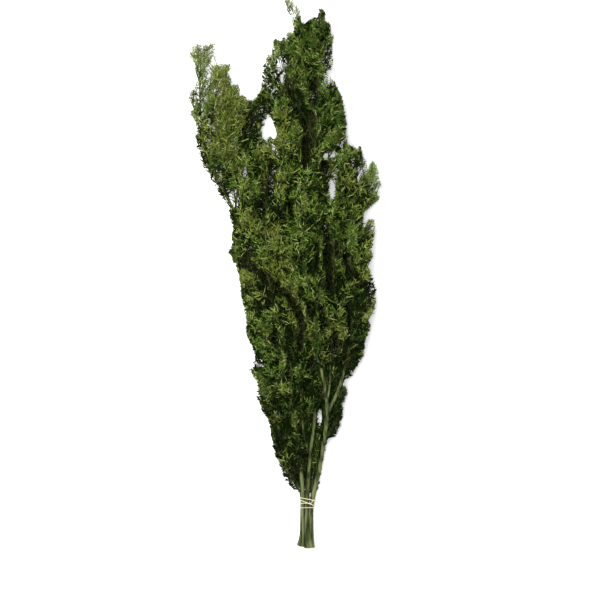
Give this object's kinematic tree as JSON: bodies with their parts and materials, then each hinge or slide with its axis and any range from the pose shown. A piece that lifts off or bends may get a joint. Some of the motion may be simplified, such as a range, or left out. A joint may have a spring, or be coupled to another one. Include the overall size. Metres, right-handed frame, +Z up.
{
  "type": "bunch of cut cypress branches",
  "caption": "Tied bunch of cut, leafy cypress branches lying flat: slim tapering stems, a thin tie near their cut ends, and dense scale-leaf foliage fanning out to open, pointed tips.",
  "frame": {"origin": "on the surface that the bunch lies on, under the middle of its length and width", "axes": "+Y runs along the bunch from its cut ends to its tips, +Z is up off the surface, and +X is to the right seen from above with the tips away from the viewer"},
  "size_m": [0.2874, 0.8043, 0.1112],
  "materials": {
    "bark": "grey-green young bark, rough and finely ridged along the stem",
    "tie": "pale straw-yellow thin cord, matt",
    "foliage_deep": "very dark green scale leaves, matt with a faint waxy sheen",
    "foliage_green": "mid green scale leaves, matt with a faint waxy sheen",
    "foliage_bright": "fresh bright green scale leaves, matt with a faint waxy sheen",
    "foliage_olive": "yellowish olive green scale leaves, matt with a faint waxy sheen",
    "foliage_brown": "dull brownish green scale leaves, matt"
  },
  "bodies": {
    "root": {"right_stem": "bark", "middle_stem": "bark", "left_stem": "bark", "outer_stem": "bark", "back_stem": "bark", "back_right_stem": "bark", "right_bough": "bark", "thin_bough": "bark", "middle_bough": "bark", "low_left_bough": "bark", "outer_bough": "bark", "crown_left_bough": "bark", "crown_right_bough": "bark", "crown_left_tip": "foliage_olive", "crown_top": "foliage_green", "crown_right_tip": "foliage_green", "crown_left": "foliage_deep", "crown_point": "foliage_green", "crown_shoulder": "foliage_green", "outer_tip": "foliage_olive", "outer_second": "foliage_olive", "outer_third": "foliage_green", "outer_inner": "foliage_brown", "outer_edge": "foliage_olive", "outer_low": "foliage_deep", "right_upper": "foliage_green", "right_shoulder": "foliage_green", "right_spray": "foliage_deep", "right_spur": "foliage_bright", "right_spur_low": "foliage_bright", "right_side_small": "foliage_deep", "right_side": "foliage_olive", "right_low": "foliage_deep", "right_lower": "foliage_green", "right_lowest": "foliage_green", "right_inner": "foliage_brown", "centre_crown": "foliage_deep", "centre_left": "foliage_olive", "centre_high": "foliage_green", "centre_front": "foliage_olive", "centre_right": "foliage_deep", "left_high": "foliage_green", "left_front": "foliage_olive", "left_edge": "foliage_deep", "left_low": "foliage_green", "left_inner": "foliage_green", "centre_low": "foliage_green", "centre_lower": "foliage_bright", "left_lower": "foliage_deep", "left_lowest": "foliage_green", "low_front": "foliage_olive", "back_low": "foliage_deep", "back_left": "foliage_deep", "back_right": "foliage_deep", "back_centre": "foliage_deep", "back_high": "foliage_deep", "crown_inner": "foliage_green", "left_middle": "foliage_deep", "back_crown": "foliage_deep", "tie": "tie"}
  },
  "joints": []
}
